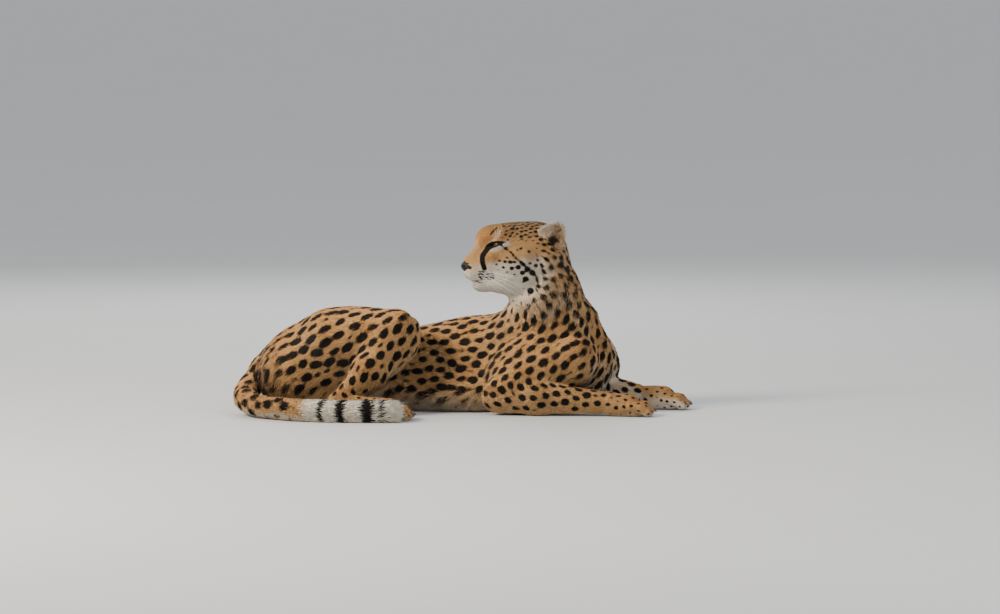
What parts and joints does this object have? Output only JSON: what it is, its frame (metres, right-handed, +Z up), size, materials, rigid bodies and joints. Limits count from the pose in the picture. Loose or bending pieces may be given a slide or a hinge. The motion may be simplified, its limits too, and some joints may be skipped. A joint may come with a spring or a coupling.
{
  "type": "cheetah",
  "caption": "Life-size still model of a cheetah lying at rest, forelegs stretched ahead, one knee raised, tail laid round the rump, head turned back over the shoulder.",
  "frame": {"origin": "on the floor under the belly, at the middle of the flat that the belly rests on", "axes": "+X the way the body and the forelegs point, +Y to the animal's left, +Z up"},
  "size_m": [1.0046, 0.5401, 0.4198],
  "materials": {
    "coat": "short golden-tawny fur with solid black-brown spots, white to cream on the belly, throat, inner legs and tail tip",
    "nose_leather": "dark, finely pebbled, slightly moist nose skin",
    "eye": "wet amber eye with a round black pupil"
  },
  "bodies": {
    "root": {"head": "coat", "neck": "coat", "trunk": "coat", "foreleg_left": "coat", "foreleg_right": "coat", "forepaw_left": "coat", "forepaw_right": "coat", "thigh_left": "coat", "thigh_right": "coat", "shank_left": "coat", "shank_right": "coat", "hindpaw_left": "coat", "hindpaw_right": "coat", "tail_base": "coat", "tail_middle": "coat", "tail_tip": "coat", "ear_left": "coat", "ear_right": "coat", "nose": "nose_leather", "eye_left": "eye", "eye_right": "eye"}
  },
  "joints": []
}
